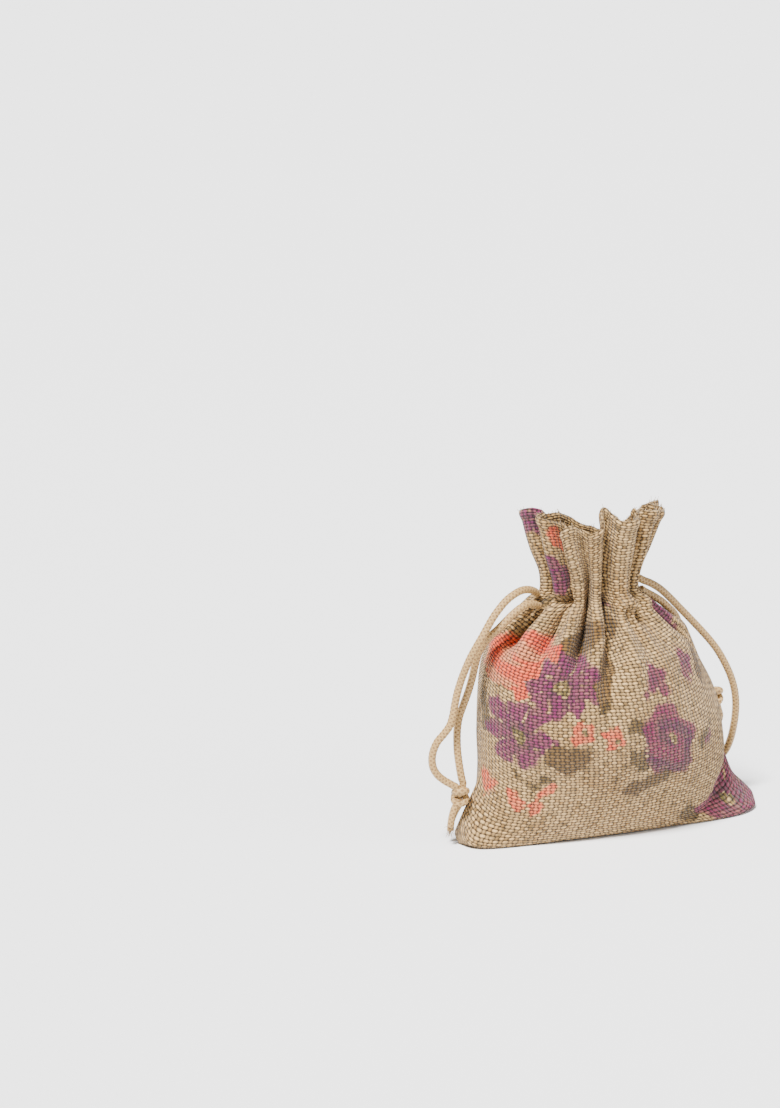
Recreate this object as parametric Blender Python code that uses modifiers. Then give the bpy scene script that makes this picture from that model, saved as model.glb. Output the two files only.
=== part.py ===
"""A small burlap drawstring bag: printed cloth drawn in at the neck, with a knotted pair of cord ends on each side.

Metres, +Z up, the front towards -Y. The origin is on the floor under the middle of the bottom fold.
The cloth is one thin shell. Each place on it is given by its share of the way round (0 at the left side
seam, 0.25 at the middle of the front, 0.5 at the right side seam) and by its height up the cloth.
"""
import bmesh
import bpy
import numpy as np
from mathutils import Matrix, Vector

MM = 0.001

# ---- driving dimensions, in millimetres ----
CLOTH_THICK = 1.0
NECK_HEIGHT = 90.0           # up the cloth, from the bottom fold to the drawn neck
CLOTH_HEIGHT = 117.0         # up the cloth, from the bottom fold to the rim
COLUMNS = 88                 # faces round the bag, even so that the two side seams fall on a column
CREASE_SOFTNESS = 1.2        # rounding where the belly meets the flat ears
SEAM_RISE = 2.2              # how quickly a thread line climbs to the side seam at the bottom corners
PRESSED_FLAT = 0.12          # what hangs lower than this lies on the floor

CORD_WIDE = 2.3
CORD_STEP = 4.6              # distance between a cord's points
TAIL_STEP = 2.5              # and between a free end's points
KNOT_RADII = (2.7, 2.7, 3.6)
KNOT_FACES = (14, 9)         # round the knot and from pole to pole

# The belly's outline at heights up the cloth. Columns: height up the cloth, z at the middle of the front
# and at the side seams, centre x and y, belly's half widths left and right of the centre, its half depth
# and roundness (2 is an ellipse), the ears' half widths left and right, half depth and bluntness.
SECTION_COLUMNS = ("up", "z_front", "z_seam", "centre_x", "centre_y", "left", "right", "deep", "round",
                   "ear_left", "ear_right", "ear_deep", "blunt_left", "blunt_right")
SECTIONS = (
    (0.0, 0.5, 0.5, 0.0, -0.3, 46.0, 24.0, 0.0, 3.4, 49.6, 49.6, 0.0, 5.0, 4.6),
    (5.0, 0.5, 4.0, 0.0, -0.3, 46.0, 25.0, 5.2, 3.4, 49.4, 48.8, 5.4, 5.0, 4.6),
    (9.0, 0.8, 7.8, 0.0, -0.3, 45.6, 27.0, 9.8, 3.2, 48.8, 45.6, 9.8, 4.6, 4.2),
    (13.0, 3.6, 11.8, 0.0, -0.3, 44.6, 31.0, 12.6, 2.8, 47.0, 41.6, 10.6, 3.4, 2.6),
    (19.0, 9.0, 17.4, 0.0, -0.2, 43.2, 34.4, 15.4, 2.45, 44.0, 39.0, 10.0, 2.4, 1.6),
    (29.0, 18.2, 27.2, -0.6, 0.0, 41.4, 37.6, 19.2, 2.2, 38.0, 34.0, 10.0, 2.0, 1.6),
    (41.0, 29.6, 38.8, -2.2, 0.0, 40.0, 37.0, 22.9, 2.15, 34.0, 32.0, 13.0, 2.0, 1.8),
    (54.0, 42.4, 50.6, -4.2, 0.5, 37.0, 33.4, 24.8, 2.1, 32.0, 28.0, 16.0, 2.0, 2.0),
    (66.0, 54.2, 60.4, -5.6, 1.0, 33.4, 30.6, 23.4, 2.1, 28.0, 25.0, 16.0, 2.0, 2.0),
    (76.0, 63.2, 66.4, -6.2, 1.3, 26.6, 24.8, 19.0, 2.1, 22.0, 20.0, 14.0, 2.0, 2.0),
    (84.0, 69.8, 71.0, -6.4, 1.5, 19.2, 18.6, 14.8, 2.1, 14.0, 14.0, 10.0, 2.0, 2.0),
    (90.0, 74.4, 75.0, -6.4, 1.5, 14.8, 14.8, 11.8, 2.1, 11.0, 11.0, 8.0, 2.0, 2.0),
    (95.0, 78.8, 79.6, -6.2, 1.5, 15.4, 15.2, 12.0, 2.1, 12.0, 12.0, 8.0, 2.0, 2.0),
    (104.0, 86.4, 88.0, -5.8, 1.7, 18.8, 18.0, 13.4, 2.1, 14.0, 14.0, 9.0, 2.0, 2.0),
    (117.0, 97.0, 99.6, -5.4, 2.0, 23.0, 22.0, 15.6, 2.1, 18.0, 18.0, 11.0, 2.0, 2.0),
)

# The gathers. Columns: share of the way round at the neck and at the foot of the crease, height up the
# cloth of its foot, depth at the neck and at the rim, and how far its walls turn in, in radians.
CREASE_COLUMNS = ("round_neck", "round_foot", "foot", "deep_neck", "deep_rim", "turn")
CREASES = (
    (0.015, 0.020, 64.0, 3.2, 4.4, 1.35),
    (0.105, 0.095, 64.0, 4.6, 5.4, 1.50),
    (0.175, 0.150, 58.0, 3.8, 1.2, 1.40),
    (0.248, 0.215, 46.0, 4.8, 6.0, 1.55),
    (0.325, 0.330, 54.0, 4.2, 5.4, 1.45),
    (0.430, 0.472, 54.0, 4.8, 2.4, 1.50),
    (0.525, 0.530, 62.0, 3.4, 4.4, 1.35),
    (0.580, 0.585, 66.0, 3.6, 2.2, 1.40),
    (0.645, 0.650, 52.0, 4.4, 5.4, 1.45),
    (0.715, 0.715, 64.0, 4.0, 1.6, 1.40),
    (0.785, 0.780, 50.0, 4.6, 5.8, 1.50),
    (0.860, 0.850, 66.0, 3.8, 2.0, 1.40),
    (0.935, 0.930, 60.0, 3.6, 5.0, 1.35),
)

# Where the rim stands higher. Columns: share of the way round, half width as a share, rise.
RIM_WAVES = (
    (0.985, 0.060, 1.8),
    (0.075, 0.055, 2.4),
    (0.290, 0.045, 2.6),
    (0.370, 0.050, 1.6),
    (0.600, 0.060, 1.4),
    (0.820, 0.060, 2.0),
)

# Heights up the cloth at which the shell has a row of points.
ROWS_UP = (0.0, 3.0, 6.0, 8.5, 10.5, 13.0, 17.0, 23.0, 31.0, 40.0, 49.0, 57.0, 64.0, 70.0, 75.5, 80.0,
           84.0, 87.5, 90.5, 94.0, 98.5, 104.5, 111.0, 117.0)

# The cords' routes from the neck to the knots: x, y, z of points chosen along each strand.
ROUTES = {
    "cord_left_outer": (
        (-23.6, 1.6, 74.8), (-25.4, 0.6, 76.2), (-28.0, -0.8, 77.2), (-30.7, -2.0, 77.4), (-33.5, -3.2, 76.8),
        (-36.2, -4.0, 75.5), (-38.7, -4.8, 73.6), (-41.0, -5.4, 71.3), (-43.0, -5.8, 68.6), (-44.9, -6.0, 65.7),
        (-46.7, -5.6, 62.5), (-48.2, -4.8, 59.2), (-49.3, -3.8, 55.7), (-50.3, -2.8, 51.9), (-51.3, -2.4, 48.1),
        (-52.1, -2.4, 44.5), (-52.8, -2.6, 41.2), (-53.8, -2.6, 38.3), (-55.4, -2.2, 35.9), (-57.2, -1.6, 33.6),
        (-58.4, -1.2, 30.8), (-58.8, -1.0, 28.0), (-58.4, -1.0, 25.3), (-57.1, -1.2, 23.0), (-55.2, -1.4, 21.2),
        (-53.4, -1.8, 20.0), (-52.2, -2.0, 19.2),
    ),
    "cord_left_inner": (
        (-24.4, -1.2, 71.8), (-26.6, -2.4, 72.9), (-29.2, -3.6, 73.4), (-31.8, -4.4, 72.8), (-34.4, -4.8, 71.3),
        (-36.8, -4.8, 69.3), (-39.0, -4.2, 67.0), (-41.1, -3.2, 64.8), (-43.0, -2.6, 62.4), (-44.4, -2.2, 59.6),
        (-45.2, -1.6, 56.0), (-45.9, -1.0, 51.8), (-46.9, -0.4, 47.5), (-48.2, 0.2, 43.3), (-49.3, 0.6, 39.8),
        (-50.0, 0.4, 36.4), (-50.3, 0.0, 33.0), (-50.3, -0.4, 29.4), (-50.0, -0.8, 25.9), (-49.6, -1.2, 22.6),
        (-49.2, -1.4, 20.4),
    ),
    "cord_right_outer": (
        (10.0, 2.8, 76.3), (12.2, 3.2, 75.0), (14.9, 3.6, 73.7), (18.4, 4.2, 71.4), (22.3, 5.1, 67.9),
        (26.0, 6.0, 64.2), (29.7, 6.8, 60.5), (33.3, 7.4, 56.8), (36.8, 7.8, 53.0), (40.2, 8.2, 48.8),
        (43.1, 8.6, 44.2), (45.6, 9.2, 39.4), (47.3, 9.8, 34.7), (48.2, 10.5, 30.2), (48.5, 11.3, 26.0),
        (48.4, 12.2, 21.8), (48.2, 13.6, 17.6), (47.4, 15.2, 13.6), (45.4, 16.6, 10.6), (42.3, 17.2, 9.2),
        (39.2, 16.4, 10.6), (37.6, 14.6, 13.8), (38.0, 12.6, 17.6), (39.6, 10.8, 21.2), (41.0, 9.0, 24.6),
        (41.2, 7.6, 27.6), (40.2, 6.6, 30.0),
    ),
    "cord_right_inner": (
        (10.8, 2.2, 72.8), (12.8, 2.6, 71.4), (15.3, 2.9, 69.9), (18.4, 3.4, 67.8), (21.4, 4.0, 65.1),
        (24.0, 5.2, 62.5), (26.0, 7.4, 59.8), (27.2, 10.0, 56.2), (28.0, 11.8, 52.0), (29.4, 12.2, 47.6),
        (31.6, 11.2, 43.4), (34.0, 9.0, 40.6), (35.6, 7.4, 39.2),
    ),
}

# The two free ends of each knot, from inside the knot.
TAILS = {
    "knot_left": (
        ((-50.0, -1.6, 14.6), (-51.8, -1.8, 12.0), (-52.6, -1.6, 9.0), (-52.8, -1.2, 6.2)),
        ((-49.8, -1.0, 13.0), (-50.4, 1.2, 9.8), (-51.2, 2.0, 6.8), (-51.4, 2.2, 4.0)),
    ),
    "knot_right": (
        ((37.6, 5.8, 36.0), (36.6, 8.6, 37.4), (35.4, 10.8, 38.6), (33.8, 12.6, 39.2)),
        ((38.0, 6.4, 34.6), (37.6, 9.4, 34.6), (36.6, 12.2, 34.2), (35.0, 14.4, 33.4)),
    ),
}
KNOT_CENTRES = {"knot_left": (-49.8, -1.6, 15.0), "knot_right": (38.2, 5.6, 35.0)}

COLOURS = {
    "bag_cloth": (0.68, 0.55, 0.36, 1.0),
    "cord": (0.74, 0.58, 0.35, 1.0),
}


def remove_everything():
    for item in list(bpy.data.objects):
        bpy.data.objects.remove(item, do_unlink=True)


def material(name, colour):
    made = bpy.data.materials.new(name)
    made.use_nodes = True
    shader = made.node_tree.nodes["Principled BSDF"]
    shader.inputs["Base Color"].default_value = colour
    shader.inputs["Roughness"].default_value = 0.9
    shader.inputs["Metallic"].default_value = 0.0
    return made


def monotone(table, column, up):
    """A column of a table read at the height up, on a smooth curve that never overshoots the rows."""
    xs = np.array([row[0] for row in table])
    ys = np.array([row[column] for row in table])
    steps = np.diff(xs)
    slopes = np.diff(ys) / steps
    tangents = np.zeros(len(xs))
    tangents[0], tangents[-1] = slopes[0], slopes[-1]
    for i in range(1, len(xs) - 1):
        if slopes[i - 1] * slopes[i] > 0:
            first, second = 2 * steps[i] + steps[i - 1], steps[i] + 2 * steps[i - 1]
            tangents[i] = (first + second) / (first / slopes[i - 1] + second / slopes[i])
    i = min(max(int(np.searchsorted(xs, up, side="right")) - 1, 0), len(steps) - 1)
    t = (up - xs[i]) / steps[i]
    return ((1 + 2 * t) * (1 - t) ** 2 * ys[i] + t * (1 - t) ** 2 * steps[i] * tangents[i]
            + t * t * (3 - 2 * t) * ys[i + 1] + t * t * (t - 1) * steps[i] * tangents[i + 1])


def section(up):
    return {name: monotone(SECTIONS, i, up) for i, name in enumerate(SECTION_COLUMNS) if i}


def superellipse(across, along, wide, deep, power):
    return ((across / wide) ** power + (along / deep) ** power) ** (-1 / power)


def outline(up, count=480):
    """The crest line round the bag at a height up the cloth: count points, the seams at 0 and count / 2."""
    row = section(up)
    thin = 0.02
    deep, ear_deep = max(row["deep"], thin), max(row["ear_deep"], thin)
    turn = np.linspace(0, 2 * np.pi, 8 * count + 1)
    squash = max(deep, ear_deep) / 45.0
    angle = np.arctan2(-np.sin(turn) * squash, -np.cos(turn))
    across, along = np.abs(np.cos(angle)), np.abs(np.sin(angle))
    left = np.cos(angle) < 0
    belly = superellipse(across, along, np.where(left, row["left"], row["right"]), deep, row["round"])
    blunt = np.where(left, row["blunt_left"], row["blunt_right"])
    ears = superellipse(across, along, np.where(left, row["ear_left"], row["ear_right"]), ear_deep, blunt)
    soft = CREASE_SOFTNESS ** 2 * np.minimum(1, (belly + ears) / 20)
    radius = 0.5 * (belly + ears + np.sqrt((belly - ears) ** 2 + soft))
    x, y = radius * np.cos(angle), radius * np.sin(angle)
    length = np.concatenate([[0], np.cumsum(np.hypot(np.diff(x), np.diff(y)))])
    seam = 4 * count
    share = np.where(np.arange(len(x)) <= seam, 0.5 * length / length[seam],
                     0.5 + 0.5 * (length - length[seam]) / (length[-1] - length[seam]))
    even = np.arange(count) / count
    x, y = np.interp(even, share, x), np.interp(even, share, y)
    frontness = 1 - (1 - np.abs(y) / max(np.abs(y).max(), 1e-9)) ** SEAM_RISE
    z = row["z_seam"] + (row["z_front"] - row["z_seam"]) * frontness
    return np.stack([x + row["centre_x"], y + row["centre_y"], z], axis=1)


def ease(t):
    t = np.clip(t, 0, 1)
    return t * t * (3 - 2 * t)


def crease_state(crease, up):
    """Where a crease is at a height up the cloth, how deep, and how far its walls turn in."""
    values = dict(zip(CREASE_COLUMNS, crease))
    if up <= NECK_HEIGHT:
        grown = ease((up - values["foot"]) / (NECK_HEIGHT - values["foot"]))
        place = values["round_foot"] + (values["round_neck"] - values["round_foot"]) * grown
        return place, values["deep_neck"] * grown, values["turn"] * grown
    opened = ease((up - NECK_HEIGHT) / (CLOTH_HEIGHT - NECK_HEIGHT))
    deep = values["deep_neck"] + (values["deep_rim"] - values["deep_neck"]) * opened
    turn = values["turn"] * (deep / values["deep_neck"]) ** 0.5 if deep < values["deep_neck"] else values["turn"]
    return values["round_neck"], deep, turn


def gather(up, columns):
    """For each column: its share of the way along the crest line, and its depth below that line."""
    states = [crease_state(crease, up) for crease in CREASES]
    places = np.array([state[0] for state in states])
    count = 1440
    share = np.arange(count + 1) / count
    advance, depth = np.ones(count + 1), np.zeros(count + 1)
    for k, (place, deep, turn) in enumerate(states):
        before = (place - places[k - 1]) % 1 / 2
        after = (places[(k + 1) % len(places)] - place) % 1 / 2
        offset = (share - place + 0.5) % 1 - 0.5
        for reach, side in ((before, offset <= 0), (after, offset > 0)):
            inside = side & (np.abs(offset) <= reach)
            swing = turn * np.sin(np.pi * offset[inside] / reach)
            advance[inside] = np.cos(swing)
            walls = np.linspace(0, 1, 65)
            wall_rise = np.concatenate([[0], np.cumsum(np.sin(turn * np.sin(np.pi * (walls[1:] + walls[:-1]) / 2)))])
            rise = wall_rise / wall_rise[-1] if wall_rise[-1] > 1e-9 else 0.5 - 0.5 * np.cos(np.pi * walls)
            depth[inside] = deep * (1 - np.interp(np.abs(offset[inside]) / reach, walls, rise))
    along = np.concatenate([[0], np.cumsum((advance[1:] + advance[:-1]) / 2)])
    along /= along[-1]
    at = np.arange(columns) / columns
    return np.interp(at, share, along), np.interp(at, share, depth)


def rim_rise(share, up):
    """How much higher the heading stands than its section says, at each share of the way round."""
    rise = np.zeros(len(share))
    for round_way, half_width, height in RIM_WAVES:
        offset = (share - round_way + 0.5) % 1 - 0.5
        rise += height * np.exp(-(offset / half_width) ** 2)
    return rise * ease((up - NECK_HEIGHT) / (CLOTH_HEIGHT - NECK_HEIGHT))


def cloth_points(ups, columns):
    """The middle surface of the cloth: rows of points, each row once round the bag."""
    fine = 480
    step = 0.5
    grid = np.array([outline(up, fine) for up in ups])
    above = np.array([outline(min(up + step, CLOTH_HEIGHT), fine) for up in ups])
    below = np.array([outline(max(up - step, 0), fine) for up in ups])
    rows = np.zeros((len(ups), columns, 3))
    for j, up in enumerate(ups):
        round_way = np.roll(grid[j], -1, axis=0) - np.roll(grid[j], 1, axis=0)
        up_way = above[j] - below[j]
        normal = np.cross(round_way, up_way)
        normal /= np.maximum(np.linalg.norm(normal, axis=1, keepdims=True), 1e-9)
        share, depth = gather(up, columns)
        at = share * fine
        place = np.stack([np.interp(at, np.arange(fine + 1), np.append(grid[j][:, k], grid[j][0, k]))
                          for k in range(3)], axis=1)
        facing = np.stack([np.interp(at, np.arange(fine + 1), np.append(normal[:, k], normal[0, k]))
                           for k in range(3)], axis=1)
        centre = np.array([section(up)["centre_x"], section(up)["centre_y"], 0.0])
        spoke = place - centre
        spoke[:, 2] = 0
        spoke /= np.linalg.norm(spoke, axis=1, keepdims=True)
        drawn = ease((up - 70) / 20)
        facing = facing * (1 - drawn) + spoke * drawn
        facing /= np.linalg.norm(facing, axis=1, keepdims=True)
        rows[j] = place - facing * depth[:, None]
        rows[j][:, 2] += rim_rise(np.arange(columns) / columns, up)
    return rows


def cloth_mesh(name, ups, columns):
    """The open sack: its lowest row is the bottom fold, where front and back share their points."""
    rows = cloth_points(ups, columns) * MM
    half = columns // 2
    points = [tuple(rows[0, i]) for i in range(half + 1)]
    for j in range(1, len(ups)):
        points += [tuple(p) for p in rows[j]]

    def index(j, i):
        i %= columns
        if j == 0:
            return min(i, columns - i)
        return half + 1 + (j - 1) * columns + i

    faces = []
    for j in range(len(ups) - 1):
        for i in range(columns):
            corners = [index(j, i), index(j, i + 1), index(j + 1, i + 1), index(j + 1, i)]
            faces.append(corners)
    mesh = bpy.data.meshes.new(name)
    mesh.from_pydata(points, [], faces)
    mesh.shade_smooth()
    return mesh


def smooth_route(points, step=CORD_STEP):
    """Points about a step apart along a smooth curve through the route's own points."""
    given = np.array(points)
    padded = np.vstack([2 * given[0] - given[1], given, 2 * given[-1] - given[-2]])
    pieces = []
    for i in range(len(given) - 1):
        p0, p1, p2, p3 = padded[i:i + 4]
        for t in np.linspace(0, 1, 16, endpoint=False):
            pieces.append(0.5 * (2 * p1 + (p2 - p0) * t + (2 * p0 - 5 * p1 + 4 * p2 - p3) * t * t
                                 + (3 * p1 - p0 - 3 * p2 + p3) * t ** 3))
    pieces.append(given[-1])
    fine = np.array(pieces)
    length = np.concatenate([[0], np.cumsum(np.linalg.norm(np.diff(fine, axis=0), axis=1))])
    count = max(int(round(length[-1] / step)), 2)
    at = np.linspace(0, length[-1], count + 1)
    return np.stack([np.interp(at, length, fine[:, k]) for k in range(3)], axis=1)


def cord_curve(name, route, collection, step=CORD_STEP):
    curve = bpy.data.curves.new(name, "CURVE")
    curve.dimensions = "3D"
    curve.bevel_depth = CORD_WIDE / 2 * MM
    curve.bevel_resolution = 2
    curve.use_fill_caps = True
    points = smooth_route(route, step) * MM
    spline = curve.splines.new("POLY")
    spline.points.add(len(points) - 1)
    for place, point in zip(points, spline.points):
        point.co = (*place, 1.0)
    cord = bpy.data.objects.new(name, curve)
    collection.objects.link(cord)
    return cord


def as_mesh(item):
    """The curve object as a closed mesh object of the same name and place."""
    graph = bpy.context.evaluated_depsgraph_get()
    mesh = bpy.data.meshes.new_from_object(item.evaluated_get(graph))
    soft = bmesh.new()
    soft.from_mesh(mesh)
    bmesh.ops.remove_doubles(soft, verts=soft.verts, dist=0.01 * MM)
    soft.to_mesh(mesh)
    soft.free()
    solid = bpy.data.objects.new(item.name, mesh)
    solid.matrix_world = item.matrix_world
    for collection in item.users_collection:
        collection.objects.link(solid)
    bpy.data.objects.remove(item, do_unlink=True)
    return solid


def build_knot(name, collection, cutters, colour):
    """The tight part of the knot with its two free ends, one body."""
    bpy.ops.mesh.primitive_uv_sphere_add(segments=KNOT_FACES[0], ring_count=KNOT_FACES[1], radius=MM)
    knot = bpy.context.active_object
    knot.name = name
    knot.data.name = name
    for holder in knot.users_collection:
        holder.objects.unlink(knot)
    collection.objects.link(knot)
    knot.data.transform(Matrix.Diagonal((*KNOT_RADII, 1.0)))
    knot.location = Vector(KNOT_CENTRES[name]) * MM
    knot.data.materials.append(colour)
    for i, tail in enumerate(TAILS[name]):
        end = as_mesh(cord_curve(f"{name}_end_{i + 1}", tail, cutters, step=TAIL_STEP))
        end.hide_render = True
        end.display_type = "WIRE"
        join = knot.modifiers.new(f"end_{i + 1}", "BOOLEAN")
        join.operation = "UNION"
        join.object = end
    return knot


def build_cloth(collection):
    """The thick cloth, with the part of its underside that touches the floor pressed flat."""
    sheet = bpy.data.objects.new("sheet", cloth_mesh("sheet", ROWS_UP, COLUMNS))
    collection.objects.link(sheet)
    thick = sheet.modifiers.new("thickness", "SOLIDIFY")
    thick.thickness = CLOTH_THICK * MM
    thick.offset = 0.0
    cloth = as_mesh(sheet)
    cloth.name = "bag_cloth"
    cloth.data.name = "bag_cloth"
    cloth.data.materials.append(material("bag_cloth", COLOURS["bag_cloth"]))
    for vertex in cloth.data.vertices:
        if vertex.co.z < PRESSED_FLAT * MM:
            vertex.co.z = 0.0


def main():
    remove_everything()
    collection = bpy.data.collections.new("burlap_bag")
    bpy.context.scene.collection.children.link(collection)
    cutters = bpy.data.collections.new("cutters")
    bpy.context.scene.collection.children.link(cutters)
    build_cloth(collection)
    braid = material("cord", COLOURS["cord"])
    for name, route in ROUTES.items():
        cord = cord_curve(name, route, collection)
        cord.data.materials.append(braid)
    for name in TAILS:
        build_knot(name, collection, cutters, braid)


main()
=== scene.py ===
"""A small burlap drawstring bag with a flower print: cloth, cords and knots, on a pale floor in soft light.

Lengths in the tables are millimetres. A place on the cloth is given by u, the distance round the bag along
the cloth from the left side seam (50 is the middle of the front, 100 the right side seam, 200 the whole
way), and v, the distance up the cloth from the bottom fold.
"""
import math

import bpy
import numpy as np
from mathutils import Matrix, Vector


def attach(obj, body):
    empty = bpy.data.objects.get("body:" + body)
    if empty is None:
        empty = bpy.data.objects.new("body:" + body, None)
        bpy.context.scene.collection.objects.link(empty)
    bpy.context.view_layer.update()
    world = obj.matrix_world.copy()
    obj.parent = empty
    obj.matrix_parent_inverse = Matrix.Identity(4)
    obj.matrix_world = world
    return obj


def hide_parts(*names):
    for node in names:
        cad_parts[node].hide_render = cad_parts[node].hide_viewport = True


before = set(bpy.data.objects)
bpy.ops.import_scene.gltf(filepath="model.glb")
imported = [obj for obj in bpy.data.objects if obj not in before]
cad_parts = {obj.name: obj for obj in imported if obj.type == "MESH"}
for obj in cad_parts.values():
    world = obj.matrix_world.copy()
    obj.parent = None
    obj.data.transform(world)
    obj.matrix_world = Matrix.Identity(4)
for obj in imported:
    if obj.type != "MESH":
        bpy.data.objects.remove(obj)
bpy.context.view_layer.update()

MM = 0.001
SEED = 7                     # for the loose fibres and threads

# ---- camera: where it stands, what it points at, and its lens ----
CAMERA_PLACE = (-0.53136, -1.11402, 0.40819)
CAMERA_AIM = (-0.05033, 0.05240, 0.07748)
CAMERA_LENS = 138.0

# ---- light and floor ----
LIGHT_AIM = (0, 0, 0.05)
KEY_PLACE = (-0.52, -0.44, 1.28)
FILL_PLACE = (0.9, -0.9, 0.7)
WORLD_LIGHT = 0.42
FLOOR_HALF = 4

# ---- the cloth ----
CLOTH_ROUND = 200.0
CLOTH_HEIGHT = 117.0
NECK_HEIGHT = 90.0
HEM_THICK = 1.6              # at the turned hem
PLAIN_SHARE = 0.45           # and how much of that the single cloth has
COLUMNS = 300                # mesh columns round the bag
OUTLINE_POINTS = 480         # points of a section's outline
GATHER_POINTS = 1440         # steps for following the cloth into the gathers
WALL_POINTS = 65             # and for one wall of a crease
THINNEST = 0.02              # half depth of the bottom fold
CREASE_SOFTNESS = 1.2        # rounds the line where the belly meets an ear
SEAM_RISE = 2.2              # how soon the height changes away from the side seams
ROW_BANDS = ((0.0, 12.0, 0.8), (12.0, 70.0, 1.05), (70.0, 117.0, 0.66))   # from, to, row spacing

# The belly's outline at heights up the cloth. Columns: height up the cloth, z at the middle of the front
# and at the side seams, centre x and y, belly's half widths left and right of the centre, its half depth
# and roundness (2 is an ellipse), the ears' half widths left and right, half depth and bluntness.
SECTION_COLUMNS = ("up", "z_front", "z_seam", "centre_x", "centre_y", "left", "right", "deep", "round",
                   "ear_left", "ear_right", "ear_deep", "blunt_left", "blunt_right")
SECTIONS = (
    (0, 0.5, 0.5, 0, -0.3, 46, 24, 0, 3.4, 49.6, 49.6, 0, 5, 4.6),
    (5, 0.5, 4, 0, -0.3, 46, 25, 5.2, 3.4, 49.4, 48.8, 5.4, 5, 4.6),
    (9, 0.8, 7.8, 0, -0.3, 45.6, 27, 9.8, 3.2, 48.8, 45.6, 9.8, 4.6, 4.2),
    (13, 3.6, 11.8, 0, -0.3, 44.6, 31, 12.6, 2.8, 47, 41.6, 10.6, 3.4, 2.6),
    (19, 9, 17.4, 0, -0.2, 43.2, 34.4, 15.4, 2.45, 44, 39, 10, 2.4, 1.6),
    (29, 18.2, 27.2, -0.6, 0, 41.4, 37.6, 19.2, 2.2, 38, 34, 10, 2, 1.6),
    (41, 29.6, 38.8, -2.2, 0, 40, 37, 22.9, 2.15, 34, 32, 13, 2, 1.8),
    (54, 42.4, 50.6, -4.2, 0.5, 37, 33.4, 24.8, 2.1, 32, 28, 16, 2, 2),
    (66, 54.2, 60.4, -5.6, 1, 33.4, 30.6, 23.4, 2.1, 28, 25, 16, 2, 2),
    (76, 63.2, 66.4, -6.2, 1.3, 26.6, 24.8, 19, 2.1, 22, 20, 14, 2, 2),
    (84, 69.8, 71, -6.4, 1.5, 19.2, 18.6, 14.8, 2.1, 14, 14, 10, 2, 2),
    (90, 74.4, 75, -6.4, 1.5, 14.8, 14.8, 11.8, 2.1, 11, 11, 8, 2, 2),
    (95, 78.8, 79.6, -6.2, 1.5, 15.4, 15.2, 12, 2.1, 12, 12, 8, 2, 2),
    (104, 86.4, 88, -5.8, 1.7, 18.8, 18, 13.4, 2.1, 14, 14, 9, 2, 2),
    (117, 97, 99.6, -5.4, 2, 23, 22, 15.6, 2.1, 18, 18, 11, 2, 2),
)

# The gathers. Columns: share of the way round at the neck and at the foot of the crease, height up the
# cloth of its foot, depth at the neck and at the rim, and how far its walls turn in, in radians.
CREASES = (
    (0.015, 0.020, 64.0, 3.2, 4.4, 1.35),
    (0.105, 0.095, 64.0, 4.6, 5.4, 1.50),
    (0.175, 0.165, 56.0, 4.2, 2.8, 1.45),
    (0.248, 0.215, 46.0, 4.8, 6.0, 1.55),
    (0.402, 0.370, 56.0, 4.2, 4.6, 1.50),
    (0.460, 0.480, 54.0, 4.6, 2.4, 1.50),
    (0.525, 0.530, 62.0, 3.4, 4.4, 1.35),
    (0.580, 0.585, 66.0, 3.6, 2.2, 1.40),
    (0.645, 0.650, 52.0, 4.4, 5.4, 1.45),
    (0.715, 0.715, 64.0, 4.0, 1.6, 1.40),
    (0.785, 0.780, 50.0, 4.6, 5.8, 1.50),
    (0.860, 0.850, 66.0, 3.8, 2.0, 1.40),
    (0.935, 0.930, 60.0, 3.6, 5.0, 1.35),
)

# Where the rim stands higher, or lower if negative. Columns: share of the way round, half width as a
# share, rise.
RIM_WAVES = (
    (0.985, 0.060, 1.8),
    (0.075, 0.055, 2.4),
    (0.290, 0.045, 2.6),
    (0.370, 0.050, 1.6),
    (0.600, 0.060, 1.4),
    (0.820, 0.060, 2.0),
    (0.100, 0.030, -1.2),
    (0.126, 0.020, -2.2),
    (0.145, 0.016, 1.6),
    (0.195, 0.026, -1.8),
    (0.246, 0.021, 3.9),
    (0.310, 0.024, -1.0),
    (0.368, 0.018, 2.4),
    (0.405, 0.026, 1.6),
    (0.435, 0.022, 1.6),
    (0.690, 0.075, -6.4),
    (0.790, 0.040, -3.0),
)
MOUTH_MIDDLE = -4.0          # y that the back of the heading closes towards
MOUTH_CLOSING = 0.5          # and by how much of the way

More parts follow.
